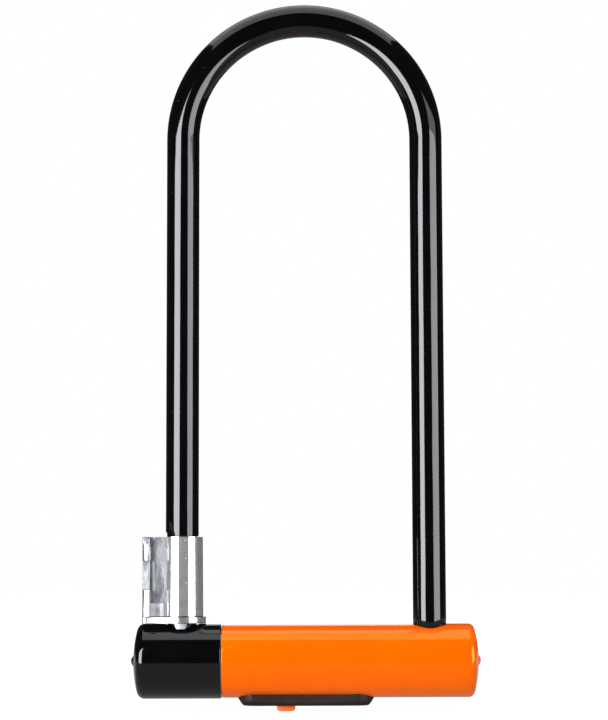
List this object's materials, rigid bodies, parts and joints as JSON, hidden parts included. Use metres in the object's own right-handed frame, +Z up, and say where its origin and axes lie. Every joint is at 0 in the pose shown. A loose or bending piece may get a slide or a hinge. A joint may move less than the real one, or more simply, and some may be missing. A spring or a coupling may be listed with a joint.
{
  "type": "bicycle u lock",
  "caption": "Long glossy-coated steel U shackle in a tubular double-bolt crossbar with domed vinyl covers, keyway shutter underneath and a polished bracket sleeve on one leg.",
  "frame": {"origin": "below the middle of the crossbar, level with the underside of the shutter's thumb tab", "axes": "+Z up along the shackle's legs, +X along the crossbar from the end cap and bracket sleeve towards the orange end, +Y towards the back"},
  "size_m": [0.1662, 0.0354, 0.3415],
  "materials": {
    "black_vinyl": "high gloss dipped vinyl",
    "orange_vinyl": "high gloss dipped vinyl",
    "dark_plastic": "satin moulded",
    "orange_plastic": "satin moulded",
    "polished_zinc": "polished die casting",
    "steel": "hardened, machined",
    "pin_steel": "ground",
    "brass": "machined"
  },
  "bodies": {
    "crossbar": {"crossbar_tube": "steel", "crossbar_sleeve": "orange_vinyl", "end_cap": "black_vinyl", "end_plug_left": "steel", "end_plug_right": "steel", "leg_socket_left": "steel", "leg_socket_right": "steel", "end_plug_pin_left": "pin_steel", "end_plug_pin_right": "pin_steel", "socket_pin_left": "pin_steel", "socket_pin_right": "pin_steel", "block_pin_left": "pin_steel", "block_pin_right": "pin_steel", "lock_block": "steel", "cylinder_shell": "brass", "keyway_ring": "dark_plastic", "keyway_surround": "dark_plastic"},
    "shackle": {"shackle_bar": "steel", "shackle_coating": "black_vinyl", "bracket_sleeve": "polished_zinc"},
    "key_core": {"key_plug": "brass", "sidebar": "pin_steel", "front_disc": "steel", "disc_1": "brass", "disc_2": "brass", "disc_3": "brass", "disc_4": "brass", "disc_5": "brass", "disc_6": "brass", "disc_spacer_1": "pin_steel", "disc_spacer_2": "pin_steel", "disc_spacer_3": "pin_steel", "disc_spacer_4": "pin_steel", "disc_spacer_5": "pin_steel", "bolt_cam": "steel", "cam_screw_1": "pin_steel", "cam_screw_2": "pin_steel"},
    "left_bolt": {"deadbolt_left": "steel", "follower_pin_left": "pin_steel"},
    "right_bolt": {"deadbolt_right": "steel", "follower_pin_right": "pin_steel"},
    "shutter": {"dust_shutter": "orange_plastic"}
  },
  "joints": [
    {"name": "shackle_pull", "type": "slide", "parent": "crossbar", "child": "shackle", "axis": [0, 0, 1], "range_m": [0, 0.06]},
    {"name": "key_turn", "type": "hinge", "parent": "crossbar", "child": "key_core", "pos_m": [0, 0, 0.0235], "axis": [0, 0, 1], "range_deg": [0, 90]},
    {"name": "left_bolt_throw", "type": "slide", "parent": "crossbar", "child": "left_bolt", "axis": [-1, 0, 0], "range_m": [0, 0.005]},
    {"name": "right_bolt_throw", "type": "slide", "parent": "crossbar", "child": "right_bolt", "axis": [1, 0, 0], "range_m": [0, 0.005]},
    {"name": "shutter_slide", "type": "slide", "parent": "crossbar", "child": "shutter", "axis": [-1, 0, 0], "range_m": [0, 0.0126]}
  ],
  "couplings": [
    {"joint": "key_turn", "follows": "right_bolt_throw", "rad_per_m": 314.16},
    {"joint": "left_bolt_throw", "follows": "right_bolt_throw", "ratio": 1}
  ]
}
